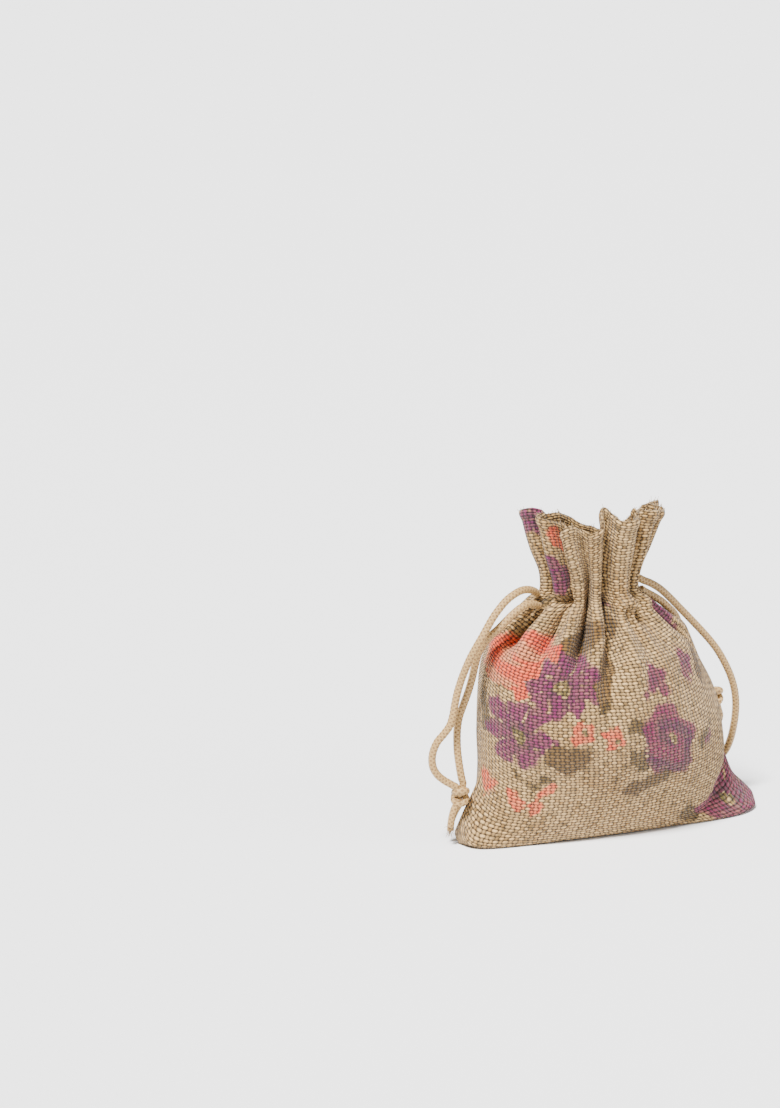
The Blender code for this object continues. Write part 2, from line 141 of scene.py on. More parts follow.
# The drawn-in folds of the shoulder and the rolls of the drawstring channel. Columns: u and v of its top
# and of its foot, half width at the top and at the foot, height out of the cloth (negative is a furrow).
FOLDS = (
    (194.4, 85, 196.2, 69, 2.4, 4.2, 0.8),
    (205.6, 86, 206, 66, 1.5, 3, -3.5),
    (211.6, 86, 213.6, 67, 2, 3.6, 1.6),
    (217, 85, 218.2, 67, 1.3, 2.8, -3),
    (28, 86, 25, 68, 2.2, 3.8, 2.6),
    (34, 89.5, 33, 64, 1.6, 3.8, -4.8),
    (39.4, 88, 41, 66, 2.2, 4, 1.6),
    (51.6, 89, 44.8, 58, 1.8, 4.6, -3.1),
    (57, 88, 55.4, 56, 2.4, 5.4, 2.2),
    (64.6, 87, 65.6, 66, 1.6, 3.4, -2.2),
    (82, 85, 76, 64, 2, 4.6, 1.3),
    (90.6, 84, 91.2, 60, 1.6, 3, 0.6),
    (96.2, 84, 96.6, 60, 1.5, 2.6, -4.2),
    (58, 87.6, 97, 86.4, 2.6, 2.6, 2.3),
    (192, 87.6, 208, 85.6, 2.6, 2.6, 1.4),
    (118, 87, 140, 86.6, 2.6, 2.6, 1.6),
    (156, 87, 178, 86.6, 2.6, 2.6, 1.6),
    (104, 86, 106, 62, 1.6, 3.4, -3),
    (116, 88, 117, 60, 1.6, 3.6, -3),
    (123, 88, 124, 64, 2, 3.6, 1.7),
    (129.4, 88, 130, 60, 1.6, 3.6, -3.4),
    (143, 88, 143, 64, 1.6, 3.6, -3.4),
    (150, 88, 149, 62, 2.2, 4, 1.8),
    (157, 88, 156, 58, 1.6, 3.6, -3.5),
    (172, 88, 170, 64, 1.6, 3.6, -3.1),
    (180, 88, 179, 64, 2, 3.8, 1.6),
    (187, 86, 186, 64, 1.5, 3.2, -3.1),
)

# Soft dents (negative) and swellings of the filled cloth. Columns: u, v, half size along u and v, turn in
# degrees, height out of the cloth.
DENTS = (
    (17.5, 88.4, 6.5, 1.9, 4, -7),
    (72.5, 82.4, 4.4, 2.4, 0, -2.4),
    (35, 93.5, 2.6, 5, 0, -1.6),
    (29, 106, 2, 12, 2, 0.9),
    (41, 104, 4, 12, 0, -0.7),
    (47.6, 106, 1.8, 12, 0, 0.9),
    (56, 106, 2, 12, 0, 0.8),
    (12, 106, 2.4, 12, 0, 0.7),
    (43, 66, 3, 9, 4, -0.9),
    (50.5, 64, 4, 10, -4, 0.7),
    (27, 70, 2.6, 8, 6, 0.6),
    (20, 72, 3, 9, 22, -0.7),
    (12, 73, 2.4, 8, 26, 0.6),
    (62, 70, 2.6, 9, -16, -0.6),
    (70, 68, 3.4, 9, -20, 0.5),
    (27, 32, 10, 4, 24, -0.5),
    (60, 24, 12, 4, -12, -0.4),
    (12, 22, 7, 3, 40, 0.6),
    (84, 40, 4, 12, 10, -0.5),
    (115, 30, 12, 5, 30, -0.6),
    (140, 60, 4, 12, 8, -0.8),
    (152, 62, 4, 11, -8, 0.7),
    (170, 36, 12, 5, -26, -0.6),
    (185, 62, 4, 10, -14, -0.6),
)

# The small waves of the cloth: their heights.
BELLY_WAVE = 0.16
BELLY_RIPPLE = 0.10
NECK_CRIMP = 0.42
NECK_FINE_CRIMP = 0.22
HEADING_WAVE = 0.35

# ---- the print ----
# Flowers. Columns: ink, u, v, half size along u and v, turn in degrees, petals, depth of the notches between
# them, size of the eye.
FLOWERS = (
    ("coral", 12.5, 68, 16.5, 10.5, 12, 5, 0.16, 0),
    ("purple", 29.5, 63.2, 12.6, 10.4, 18, 9, 0.2, 0.24),
    ("purple", 15, 46.8, 12.4, 11.4, 40, 7, 0.26, 0.2),
    ("magenta", 63.8, 43.6, 10.2, 13, 12, 5, 0.15, 0.14),
    ("magenta", 91.5, 12.5, 13.5, 10.5, 20, 5, 0.24, 0.18),
    ("magenta", 63.4, 62.4, 4.8, 5.6, 30, 4, 0.3, 0),
    ("magenta", 79.6, 64.6, 3.8, 6, -14, 3, 0.32, 0),
    ("magenta", 57.6, 59.4, 2, 2.2, 0, 3, 0.2, 0),
    ("coral", 35.6, 48.6, 4.8, 3.8, 20, 4, 0.38, 0.16),
    ("coral", 45, 47, 4.4, 3.8, 50, 4, 0.38, 0.16),
    ("coral", 4.6, 25.6, 3, 4.8, -28, 2, 0.2, 0),
    ("coral", 14.2, 24.6, 2.8, 2.6, 0, 3, 0.2, 0),
    ("coral", 20.2, 22.4, 3.3, 2.8, 20, 3, 0.2, 0),
    ("coral", 23.6, 28.8, 3, 2.8, 50, 4, 0.2, 0),
    ("purple", 52, 88, 3.2, 2, 0, 3, 0.2, 0),
    ("purple", 11.4, 97.6, 8.4, 6.6, 16, 5, 0.18, 0),
    ("coral", 17.4, 111, 3.4, 5, 10, 3, 0.26, 0),
    ("purple", 200, 113.4, 8.6, 5.4, 8, 5, 0.32, 0),
    ("purple", 96, 77.5, 7.4, 7.6, -20, 5, 0.2, 0),
    ("magenta", 80.6, 41, 1.5, 2.4, -16, 3, 0.2, 0),
    ("magenta", 114, 90, 6, 5, 0, 5, 0.3, 0.16),
    ("coral", 121, 52, 14, 11, -20, 6, 0.2, 0.14),
    ("purple", 137.5, 66, 10.5, 10, 10, 6, 0.34, 0.2),
    ("purple", 112, 28, 8, 8, 0, 5, 0.34, 0.18),
    ("magenta", 160, 46, 11, 12.5, -14, 5, 0.32, 0.18),
    ("coral", 141, 25, 5, 4.4, 10, 4, 0.36, 0.16),
    ("coral", 149, 20.4, 4.2, 3.6, 36, 4, 0.36, 0.16),
    ("coral", 181, 62, 4.4, 4.8, 36, 5, 0.3, 0.14),
    ("purple", 183, 36, 8.6, 9.4, 24, 6, 0.34, 0.2),
    ("magenta", 172, 92, 6.4, 5, 0, 5, 0.3, 0.16),
    ("coral", 150, 104, 6, 4.6, 0, 5, 0.3, 0.14),
    ("magenta", 165, 12, 6, 5, 0, 5, 0.3, 0.16),
)

# Leaves and stalks. Columns: ink, u, v, half length, half width, turn in degrees.
LEAVES = (
    ("olive", 2.4, 46.6, 7, 2.6, 96),
    ("grey", 30.2, 40.6, 8.6, 4.8, 4),
    ("olive", 42.6, 56.4, 3.6, 1.8, 28),
    # The brown patches on the front shoulder below the neck, in this row and the next three, are partly print
    # and partly painted shade in the furrows there.
    ("brown_and_shade", 31, 77, 7.6, 3.6, 40),
    ("brown_and_shade", 43.6, 66, 12, 4.6, 84),
    ("brown_and_shade", 38.6, 78, 7, 3, 60),
    ("brown_and_shade", 52, 80.6, 4.6, 2, 84),
    ("olive", 13.6, 34, 3.6, 1.2, 128),
    ("olive", 18.6, 31.2, 5.2, 0.8, -18),
    ("olive", 23, 32.4, 3.4, 1.3, 8),
    ("olive", 19.4, 27.4, 3.8, 0.5, 74),
    ("olive", 54.2, 49.2, 4.6, 3.6, 20),
    ("olive", 53, 38.2, 4.6, 3.4, -40),
    ("grey", 59, 30.6, 7, 3.2, 20),
    ("grey", 52.4, 27.4, 4.4, 2.8, 20),
    ("olive", 77.8, 40.4, 5, 1.5, 66),
    ("olive", 82.4, 44.6, 3.2, 0.8, 30),
    ("olive", 72.6, 61.6, 5, 0.9, 44),
    ("olive", 75.4, 13.4, 5, 3.6, 10),
    ("olive", 4, 88, 5, 1.8, 30),
    ("brown_and_shade", 88, 62, 8, 3.6, 70),
    ("olive", 36, 52.4, 2.4, 0.7, -30),
    ("olive", 106, 41, 6, 2.4, 60),
    ("grey", 131, 43, 7, 3, -30),
    ("olive", 147, 56, 5, 2.2, 70),
    ("grey", 172.6, 30, 6, 2.8, 34),
    ("olive", 145, 31, 5, 0.8, 40),
    ("olive", 176, 70, 5, 1.6, -40),
    ("olive", 128, 12, 6, 2.6, 14),
    ("grey", 186, 16, 6, 2.6, -24),
    ("brown_and_shade", 126, 78, 7, 3, 80),
    ("olive", 160, 76, 6, 2.4, 100),
)
ROSE_NOTCH = 0.17            # a flower with shallower notches than this is a rose, drawn in rings
SLIT_FROM = 8.5              # and one smaller than this has no bare lines between its petals
SLIT_WIDE = 0.020            # half width of the bare line between two petals, as a share of the flower's size
SLIT_START = 0.42            # where that line starts, as a share of the way out
EYE_HOLE = 0.3               # bare middle of the eye, as a share of it
LEAF_BEND = 0.18             # how far a leaf's tips bend aside
UNPRINTED = -0.3             # what a later flower lowers the other inks to
INKS = ("coral", "purple", "magenta", "olive", "grey", "brown_and_shade")

# ---- the cords: routes from the neck to the knots ----
CORD_WIDE = 2.3
CORD_STEP = 0.28             # between the rings of a cord's mesh
PATH_STEP = 1.5              # between the points of its declared path
PLAIT_PITCH = 1.3
PLAIT_RELIEF = 0.18
STUB_SHARE = 0.97            # width of a strand inside its knot, as a share of the cord's
TURN_SHARE = 0.94            # of a knot's turns
TAIL_SHARE = 0.92            # of its free ends
ROUTES = {
    "cord_left_outer": (
        (-23.6, 1.6, 74.8), (-25.4, 0.6, 76.2), (-28.0, -0.8, 77.2), (-30.7, -2.0, 77.4), (-33.5, -3.2, 76.8),
        (-36.2, -4.0, 75.5), (-38.7, -4.8, 73.6), (-41.0, -5.4, 71.3), (-43.0, -5.8, 68.6),
        (-44.9, -6.0, 65.7), (-46.7, -5.6, 62.5), (-48.2, -4.8, 59.2), (-49.3, -3.8, 55.7),
        (-50.3, -2.8, 51.9), (-51.3, -2.4, 48.1), (-52.1, -2.4, 44.5), (-52.8, -2.6, 41.2),
        (-53.8, -2.6, 38.3), (-55.4, -2.2, 35.9), (-57.2, -1.6, 33.6), (-58.4, -1.2, 30.8),
        (-58.8, -1.0, 28.0), (-58.4, -1.0, 25.3), (-57.1, -1.2, 23.0), (-55.2, -1.4, 21.2),
        (-53.4, -1.8, 20.0), (-52.2, -2.0, 19.2),
    ),
    "cord_left_inner": (
        (-24.4, -1.2, 71.8), (-26.6, -2.4, 72.9), (-29.2, -3.6, 73.4), (-31.8, -4.4, 72.8),
        (-34.4, -4.8, 71.3), (-36.8, -4.8, 69.3), (-39.0, -4.2, 67.0), (-41.1, -3.2, 64.8),
        (-43.0, -2.6, 62.4), (-44.4, -2.2, 59.6), (-45.2, -1.6, 56.0), (-45.9, -1.0, 51.8),
        (-46.9, -0.4, 47.5), (-48.2, 0.2, 43.3), (-49.3, 0.6, 39.8), (-50.0, 0.4, 36.4), (-50.3, 0.0, 33.0),
        (-50.3, -0.4, 29.4), (-50.0, -0.8, 25.9), (-49.6, -1.2, 22.6), (-49.2, -1.4, 20.4),
    ),
    "cord_right_outer": (
        (10.0, 2.8, 76.3), (12.2, 3.2, 75.0), (14.9, 3.6, 73.7), (18.4, 4.2, 71.4), (22.3, 5.1, 67.9),
        (26.0, 6.0, 64.2), (29.7, 6.8, 60.5), (33.3, 7.4, 56.8), (36.8, 7.8, 53.0), (40.2, 8.2, 48.8),
        (43.1, 8.6, 44.2), (45.6, 9.2, 39.4), (47.3, 9.8, 34.7), (48.2, 10.5, 30.2), (48.5, 11.3, 26.0),
        (48.4, 12.2, 21.8), (48.2, 13.6, 17.6), (47.4, 15.2, 13.6), (45.4, 16.6, 10.6), (42.3, 17.2, 9.2),
        (39.2, 16.4, 10.6), (37.6, 14.6, 13.8), (38.0, 12.6, 17.6), (39.6, 10.8, 21.2), (41.0, 9.0, 24.6),
        (41.2, 7.6, 27.6), (40.2, 6.6, 30.0),
    ),
    "cord_right_inner": (
        (10.8, 2.2, 72.8), (12.8, 2.6, 71.4), (15.3, 2.9, 69.9), (18.4, 3.4, 67.8), (21.4, 4.0, 65.1),
        (24.0, 5.2, 62.5), (26.0, 7.4, 59.8), (27.2, 10.0, 56.2), (28.0, 11.8, 52.0), (29.4, 12.2, 47.6),
        (31.6, 11.2, 43.4), (34.0, 9.0, 40.6), (35.6, 7.4, 39.2),
    ),
}

# The two free ends of each knot, from inside the knot.
TAILS = {
    "knot_left": (
        ((-50.0, -1.6, 14.6), (-51.8, -1.8, 12.0), (-52.6, -1.6, 9.0), (-52.8, -1.2, 6.2)),
        ((-49.8, -1.0, 13.0), (-50.4, 1.2, 9.8), (-51.2, 2.0, 6.8), (-51.4, 2.2, 4.0)),
    ),
    "knot_right": (
        ((37.6, 5.8, 36.0), (36.6, 8.6, 37.4), (35.4, 10.8, 38.6), (33.8, 12.6, 39.2)),
        ((38.0, 6.4, 34.6), (37.6, 9.4, 34.6), (36.6, 12.2, 34.2), (35.0, 14.4, 33.4)),
    ),
}

# The turns of cord in each knot. Columns: centre x, y, z, the turn's axis as azimuth and tilt from upright in
# degrees, its radius, start angle and sweep in degrees, rise along the axis.
TURNS = {
    "knot_left": (
        (-49.8, -1.7, 17.1, 70.0, 24.0, 1.75, 0.0, 400.0, 0.9),
        (-49.9, -1.6, 14.9, 250.0, 34.0, 1.75, 60.0, 380.0, 1.3),
        (-50.0, -1.6, 15.8, 160.0, 78.0, 1.55, 200.0, 300.0, 0.6),
    ),
    "knot_right": (
        (38.2, 5.7, 36.4, 70.0, 30.0, 1.75, 0.0, 400.0, 0.9),
        (38.2, 5.6, 34.2, 250.0, 36.0, 1.75, 60.0, 380.0, 1.2),
        (38.3, 5.6, 35.3, 160.0, 76.0, 1.55, 200.0, 300.0, 0.6),
    ),
}

# Where the raw rim is more frayed. Columns: share of the way round, half width as a share, how much more.
FRAYED = ((0.47, 0.07, 0.65), (0.29, 0.04, 0.3))
FRAY_LEAST = 0.35


# ---- shaping the cloth ----

def running(steps):
    """The sum of the steps so far, from 0."""
    return np.concatenate([[0], np.cumsum(steps)])


def distances(points):
    """How far along a line of points each of them is."""
    return running(np.linalg.norm(np.diff(points, axis=0), axis=1))


def monotone(table, column, up):
    """A column of a table read at the height up, on a smooth curve that never overshoots the rows."""
    xs = np.array([row[0] for row in table])
    ys = np.array([row[column] for row in table])
    steps = np.diff(xs)
    slopes = np.diff(ys) / steps
    tangents = np.zeros(len(xs))
    tangents[0], tangents[-1] = slopes[0], slopes[-1]
    for i in range(1, len(xs) - 1):
        if slopes[i - 1] * slopes[i] > 0:
            first, second = 2 * steps[i] + steps[i - 1], steps[i] + 2 * steps[i - 1]
            tangents[i] = (first + second) / (first / slopes[i - 1] + second / slopes[i])
    i = min(max(int(np.searchsorted(xs, up, side="right")) - 1, 0), len(steps) - 1)
    t = (up - xs[i]) / steps[i]
    return ((1 + 2 * t) * (1 - t) ** 2 * ys[i] + t * (1 - t) ** 2 * steps[i] * tangents[i]
            + t * t * (3 - 2 * t) * ys[i + 1] + t * t * (t - 1) * steps[i] * tangents[i + 1])


def section(up):
    return {name: monotone(SECTIONS, i, up) for i, name in enumerate(SECTION_COLUMNS) if i}


def superellipse(across, along, wide, deep, power):
    return ((across / wide) ** power + (along / deep) ** power) ** (-1 / power)


def outline(up):
    """The crest line round the bag at a height up the cloth, the seams at its start and half-way."""
    count = OUTLINE_POINTS
    row = section(up)
    deep, ear_deep = max(row["deep"], THINNEST), max(row["ear_deep"], THINNEST)
    turn = np.linspace(0, 2 * np.pi, 8 * count + 1)
    squash = max(deep, ear_deep) / 45.0
    angle = np.arctan2(-np.sin(turn) * squash, -np.cos(turn))
    across, along = np.abs(np.cos(angle)), np.abs(np.sin(angle))
    left = np.cos(angle) < 0
    belly = superellipse(across, along, np.where(left, row["left"], row["right"]), deep, row["round"])
    blunt = np.where(left, row["blunt_left"], row["blunt_right"])
    ears = superellipse(across, along, np.where(left, row["ear_left"], row["ear_right"]), ear_deep, blunt)
    soft = CREASE_SOFTNESS ** 2 * np.minimum(1, (belly + ears) / 20)
    radius = 0.5 * (belly + ears + np.sqrt((belly - ears) ** 2 + soft))
    x, y = radius * np.cos(angle), radius * np.sin(angle)
    length = running(np.hypot(np.diff(x), np.diff(y)))
    seam = 4 * count
    share = np.where(np.arange(len(x)) <= seam, 0.5 * length / length[seam],
                     0.5 + 0.5 * (length - length[seam]) / (length[-1] - length[seam]))
    even = np.arange(count) / count
    x, y = np.interp(even, share, x), np.interp(even, share, y)
    frontness = 1 - (1 - np.abs(y) / max(np.abs(y).max(), 1e-9)) ** SEAM_RISE
    z = row["z_seam"] + (row["z_front"] - row["z_seam"]) * frontness
    return np.stack([x + row["centre_x"], y + row["centre_y"], z], axis=1)


def ease(t):
    t = np.clip(t, 0, 1)
    return t * t * (3 - 2 * t)


def crease_state(crease, up):
    """Where a crease is at a height up the cloth, how deep, and how far its walls turn in."""
    place_neck, place_foot, foot, deep_neck, deep_rim, turn = crease
    if up <= NECK_HEIGHT:
        grown = ease((up - foot) / (NECK_HEIGHT - foot))
        return place_foot + (place_neck - place_foot) * grown, deep_neck * grown, turn * grown
    opened = ease((up - NECK_HEIGHT) / (CLOTH_HEIGHT - NECK_HEIGHT))
    deep = deep_neck + (deep_rim - deep_neck) * opened
    return place_neck, deep, turn * min(deep / deep_neck, 1) ** 0.5


def gather(up, at):
    """For places at, as shares of the cloth's way round: the share of the crest line, and depth below it."""
    states = [crease_state(crease, up) for crease in CREASES]
    places = np.array([state[0] for state in states])
    share = np.arange(GATHER_POINTS + 1) / GATHER_POINTS
    advance, depth = np.ones(len(share)), np.zeros(len(share))
    walls = np.linspace(0, 1, WALL_POINTS)
    for k, (place, deep, turn) in enumerate(states):
        before = (place - places[k - 1]) % 1 / 2
        after = (places[(k + 1) % len(places)] - place) % 1 / 2
        offset = (share - place + 0.5) % 1 - 0.5
        for reach, side in ((before, offset <= 0), (after, offset > 0)):
            inside = side & (np.abs(offset) <= reach)
            swing = turn * np.sin(np.pi * offset[inside] / reach)
            advance[inside] = np.cos(swing)
            rise = running(np.sin(turn * np.sin(np.pi * (walls[1:] + walls[:-1]) / 2)))
            rise = rise / rise[-1] if rise[-1] > 1e-9 else 0.5 - 0.5 * np.cos(np.pi * walls)
            depth[inside] = deep * (1 - np.interp(np.abs(offset[inside]) / reach, walls, rise))
    along = running((advance[1:] + advance[:-1]) / 2)
    along /= along[-1]
    return np.interp(at, share, along), np.interp(at, share, depth)


def rim_rise(share, up):
    """How much higher the heading stands than its section says, at each share of the way round."""
    rise = np.zeros(len(share))
    for round_way, half_width, height in RIM_WAVES:
        offset = (share - round_way + 0.5) % 1 - 0.5
        rise += height * np.exp(-(offset / half_width) ** 2)
    return rise * ease((up - NECK_HEIGHT) / (CLOTH_HEIGHT - NECK_HEIGHT))


def read_round(table, at):
    """A closed table of points read at fractional places round it."""
    closed = np.vstack([table, table[:1]])
    return np.stack([np.interp(at, np.arange(len(closed)), closed[:, k]) for k in range(3)], axis=1)


def local(u, v, u_mid, v_mid, turn):
    """Places on the cloth as offsets from a mark's middle, turned to the mark's own axes."""
    du = (u - u_mid + CLOTH_ROUND / 2) % CLOTH_ROUND - CLOTH_ROUND / 2
    dv = v - v_mid
    c, s = math.cos(math.radians(turn)), math.sin(math.radians(turn))
    return du * c + dv * s, dv * c - du * s


def swelling(u, v):
    """How far the cloth stands out of its plain section: dents, small waves, and fine crimps at the neck."""
    out = np.zeros_like(u)
    for u_mid, v_mid, half_u, half_v, turn, height in DENTS:
        a, b = local(u, v, u_mid, v_mid, turn)
        out += height * np.exp(-(a / half_u) ** 2 - (b / half_v) ** 2)
    for u_top, v_top, u_foot, v_foot, wide_top, wide_foot, height in FOLDS:
        down, across = u_foot - u_top, v_foot - v_top
        long = math.hypot(down, across)
        du = (u - u_top + CLOTH_ROUND / 2) % CLOTH_ROUND - CLOTH_ROUND / 2
        dv = v - v_top
        along = (du * down + dv * across) / long ** 2
        aside = (du * across - dv * down) / long
        wide = wide_top + (wide_foot - wide_top) * np.clip(along, 0, 1)
        level = wide_top == wide_foot
        fade = ease((along + 0.12) / 0.24) * ease((1.12 - along) / (0.24 if level else 0.8))
        out += height * fade * np.exp(-(aside / wide) ** 2)
    way = 2 * np.pi * u / CLOTH_ROUND
    out += BELLY_WAVE * np.sin(5 * way + v / 9.0) * np.sin(v / 7.0 + 1.3) * ease(v / 15)
    out += BELLY_RIPPLE * np.sin(13 * way - v / 6.0 + 2.0) * ease((v - 10) / 20)
    near_neck = np.exp(-((v - NECK_HEIGHT) / 9.0) ** 2)
    out += near_neck * NECK_CRIMP * np.sin(41 * way + 1.6 * np.sin(3 * way) + 0.05 * v)
    out += near_neck * NECK_FINE_CRIMP * np.sin(67 * way + 2.2 * np.sin(5 * way + 1.0))
    heading = ease((v - 96) / 12)
    out += heading * HEADING_WAVE * np.sin(23 * way + 1.9 * np.sin(4 * way) + v / 14.0)
    return out


def cloth_rows(ups):
    """The middle surface of the cloth: rows of points, each row once round the bag."""
    step = 0.5
    rows = np.zeros((len(ups), COLUMNS, 3))
    shares = np.arange(COLUMNS) / COLUMNS
    for j, up in enumerate(ups):
        grid = outline(up)
        up_way = outline(min(up + step, CLOTH_HEIGHT)) - outline(max(up - step, 0))
        round_way = np.roll(grid, -1, axis=0) - np.roll(grid, 1, axis=0)
        normal = np.cross(round_way, up_way)
        normal /= np.maximum(np.linalg.norm(normal, axis=1, keepdims=True), 1e-9)
        share, depth = gather(up, shares)
        place = read_round(grid, share * OUTLINE_POINTS)
        facing = read_round(normal, share * OUTLINE_POINTS)
        middle = section(up)
        spoke = place - np.array([middle["centre_x"], middle["centre_y"], 0.0])
        spoke[:, 2] = 0
        spoke /= np.linalg.norm(spoke, axis=1, keepdims=True)
        drawn = ease((up - 70) / 20)
        facing = facing * (1 - drawn) + spoke * drawn
        facing /= np.linalg.norm(facing, axis=1, keepdims=True)
        out = swelling(shares * CLOTH_ROUND, np.full(COLUMNS, up)) * ease((up - 6) / 8)
        rows[j] = place - facing * (depth - out)[:, None]
        rows[j][:, 2] += rim_rise(shares, up)
        to_end = np.abs(rows[j][:, 0] - middle["centre_x"]) / max(middle["left"], middle["right"])
        closing = MOUTH_CLOSING * ease((up - NECK_HEIGHT - 2) / (CLOTH_HEIGHT - NECK_HEIGHT - 6))
        closing = closing * (1 - np.minimum(to_end, 1) ** 4)
        behind = rows[j][:, 1] > MOUTH_MIDDLE
        rows[j][behind, 1] = MOUTH_MIDDLE + (rows[j][behind, 1] - MOUTH_MIDDLE) * (1 - closing[behind])
    return rows


# ---- drawing the print ----

def flower_field(u, v, u_mid, v_mid, half_u, half_v, turn, petals, notch):
    """Above 0 inside the flower, 0 on its edge, and how far out and where in a petal each place is."""
    a, b = local(u, v, u_mid, v_mid, turn)
    a, b = a / half_u, b / half_v
    far = np.hypot(a, b)
    angle = np.arctan2(b, a)
    wave = 0.5 + 0.5 * np.cos(petals * angle)
    edge = 1 - notch * (1 - wave ** 0.6) + 0.05 * np.sin((petals + 2) * angle + u_mid)
    field = edge - far
    if notch > ROSE_NOTCH and half_u > SLIT_FROM:
        beside = np.abs((angle * petals / (2 * np.pi)) % 1 - 0.5) * 2 * np.pi / petals * far
        slit = np.where(far > SLIT_START, (beside - SLIT_WIDE) * 2.2, 1.0)
        field = np.minimum(field, slit)
        shade = 0.15 + 0.50 * far + 0.35 * wave
    elif notch > ROSE_NOTCH:
        shade = 0.3 + 0.4 * far
    else:
        shade = 0.5 + 0.5 * np.sin(8.0 * far + angle + 0.8 * np.sin(2 * angle))
    return field, far, shade


def leaf_field(u, v, u_mid, v_mid, half_long, half_wide, turn):
    """Above 0 inside the leaf and 0 on its edge."""
    a, b = local(u, v, u_mid, v_mid, turn)
    a = a / half_long
    field = 1 - np.clip(a, -1, 1) ** 2 - np.abs(b + LEAF_BEND * half_wide * a) / half_wide
    return np.where(np.abs(a) < 1, field, -0.4)


def print_fields(u, v):
    """For each ink, a field that is above 0 where it is printed; and the tone within the flowers.

    The places are shifted by small waves first, which makes every edge uneven.
    """
    u, v = (u + 0.75 * np.sin(v / 1.9 + 0.7 * np.sin(u / 3.1)) + 0.45 * np.sin(u / 1.3 + v / 2.3),
            v + 0.75 * np.sin(u / 2.1 + 0.9 * np.sin(v / 2.7)) + 0.45 * np.sin(v / 1.2 - u / 1.9))
    fields = {ink: np.full(u.shape, -1.0) for ink in INKS}
    fields["eye"] = np.full(u.shape, -1.0)
    tone = np.full(u.shape, 0.5)
    for ink, u_mid, v_mid, half_u, half_v, turn, petals, notch, eye in FLOWERS:
        field, far, shade = flower_field(u, v, u_mid, v_mid, half_u, half_v, turn, petals, notch)
        size = min(half_u, half_v) / 6.0
        for other in fields:
            if other != ink:
                fields[other] = np.where(field > 0, np.minimum(fields[other], UNPRINTED), fields[other])
        fields[ink] = np.maximum(fields[ink], np.clip(field * size, -1, 1))
        tone = np.where(far < 1.15, shade, tone)
        if eye:
            ring = np.minimum(eye - far, far - EYE_HOLE * eye)
            fields["eye"] = np.maximum(fields["eye"], np.where(far < 1, ring * size, -1))
            fields[ink] = np.where(far < eye, -1, fields[ink])
    for ink, u_mid, v_mid, half_long, half_wide, turn in LEAVES:
        field = leaf_field(u, v, u_mid, v_mid, half_long, half_wide, turn)
        fields[ink] = np.maximum(fields[ink], np.clip(field * half_wide / 4, -1, 1))
    fields["tone"] = tone
    return fields


# ---- meshes ----

def new_object(name, points, faces):
    mesh = bpy.data.meshes.new(name)
    mesh.from_pydata([tuple(p) for p in points], [], faces)
    mesh.shade_smooth()
    made = bpy.data.objects.new(name, mesh)
    bpy.context.scene.collection.objects.link(made)
    return made


def set_uv(made, corner_uv):
    layer = made.data.uv_layers.new(name="cloth")
    layer.data.foreach_set("uv", np.asarray(corner_uv, dtype=np.float32).ravel())


def thread_places(row, up):
    """The way round a row of the cloth in real millimetres, and what turns it into thread places for each
    panel between two creases: the threads keep their pitch on a panel, and the slack hides in the creases."""
    way = distances(np.vstack([row, row[:1]]))
    edges = [crease_state(crease, up)[0] for crease in CREASES]
    middles = [(a + b) / 2 for a, b in zip([edges[-1] - 1] + edges, edges + [edges[0] + 1])]
    at = np.arange(len(way)) / COLUMNS
    shifts = []
    for middle in middles:
        turns = math.floor(middle)
        there = np.interp(middle - turns, at, way) + turns * way[-1]
        shifts.append(middle * CLOTH_ROUND - there)
    return way, edges, shifts


def hem_share(below):
    """The cloth's thickness at a distance below the rim, as a share of the hem's."""
    return PLAIN_SHARE + 0.55 * math.exp(-((below - 1.6) / 1.5) ** 2) - 0.25 * math.exp(-(below / 0.5) ** 2)


def build_cloth():
    """The cloth's object, and its rows of points. The bottom fold is one line of points for both sides."""
    ups = np.concatenate([np.arange(low, high, step) for low, high, step in ROW_BANDS] + [[CLOTH_HEIGHT]])
    rows = cloth_rows(ups) * MM
    half = COLUMNS // 2
    round_u = [i / COLUMNS * CLOTH_ROUND for i in range(COLUMNS)]
    points, point_u, point_v = list(rows[0, :half + 1]), round_u[:half + 1], [0.0] * (half + 1)
    for row, up in zip(rows[1:], ups[1:]):
        points += list(row)
        point_u += round_u
        point_v += [up] * COLUMNS

    def index(j, i):
        i %= COLUMNS
        if j == 0:
            return min(i, COLUMNS - i)
        return half + 1 + (j - 1) * COLUMNS + i

    faces, corner_uv = [], []
    threads = [thread_places(row / MM, up) for row, up in zip(rows, ups)]
    for j in range(len(ups) - 1):
        low_round, edges, low_panels = threads[j]
        high_round, _, high_panels = threads[j + 1]
        for i in range(COLUMNS):
            faces.append((index(j, i), index(j, i + 1), index(j + 1, i + 1), index(j + 1, i)))
            panel = int(np.searchsorted(edges, (i + 0.5) / COLUMNS))
            low, high = low_panels[panel], high_panels[panel]
            corner_uv += [(low_round[i] + low, ups[j]), (low_round[i + 1] + low, ups[j]),
                          (high_round[i + 1] + high, ups[j + 1]), (high_round[i] + high, ups[j + 1])]
    cloth = new_object("burlap_cloth", points, faces)
    set_uv(cloth, corner_uv)
    fields = print_fields(np.array(point_u), np.array(point_v))
    for name, values in fields.items():
        attribute = cloth.data.attributes.new("ink_" + name, "FLOAT", "POINT")
        attribute.data.foreach_set("value", values.astype(np.float32))
    hem = cloth.vertex_groups.new(name="hem")
    for k, v in enumerate(point_v):
        hem.add([k], hem_share(CLOTH_HEIGHT - v), "REPLACE")
    thick = cloth.modifiers.new("thickness", "SOLIDIFY")
    thick.thickness = HEM_THICK * MM
    thick.offset = 0.0
    thick.vertex_group = "hem"
    thick.material_offset = 1
    return cloth, rows


